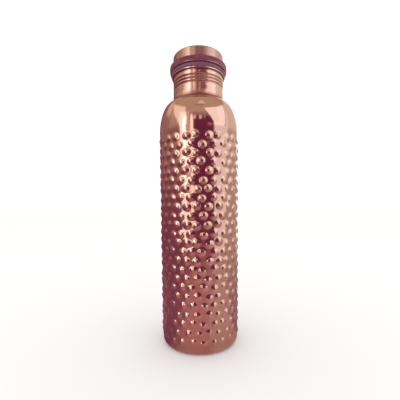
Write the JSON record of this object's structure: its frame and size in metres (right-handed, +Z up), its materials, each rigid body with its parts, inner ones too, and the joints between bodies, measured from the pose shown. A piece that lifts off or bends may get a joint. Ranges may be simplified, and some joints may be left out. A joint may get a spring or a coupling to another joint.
{
  "type": "water bottle",
  "caption": "Hammered copper water bottle with a short threaded neck and a flanged screw-in plug cap on a soft gasket.",
  "frame": {"origin": "centre of the circle that the bottle stands on", "axes": "+Z up the bottle's axis, from the foot to the cap"},
  "size_m": [0.0744, 0.0744, 0.2686],
  "materials": {
    "hammered_copper": "hammered and polished",
    "plain_copper": "polished",
    "knurled_copper": "knurled, darkened",
    "inside_copper": "satin",
    "soft_gasket": "matt silicone"
  },
  "bodies": {
    "bottle": {"bottle_shell": "hammered_copper", "base_plate": "plain_copper", "neck_sleeve": "plain_copper"},
    "seal": {"cap_gasket": "soft_gasket"},
    "cap": {"plug_sleeve": "inside_copper", "plug_floor": "inside_copper", "knurled_ring": "knurled_copper", "cap_cup": "plain_copper"}
  },
  "joints": [
    {"name": "cap_rise", "type": "slide", "parent": "bottle", "child": "seal", "axis": [0, 0, 1], "range_m": [0, 0.01401]},
    {"name": "cap_turn", "type": "hinge", "parent": "seal", "child": "cap", "pos_m": [0, 0, 0.2535], "axis": [0, 0, 1], "range_deg": [0, 1800]}
  ],
  "couplings": [
    {"joint": "cap_rise", "follows": "cap_turn", "m_per_rad": 0.00044563}
  ]
}
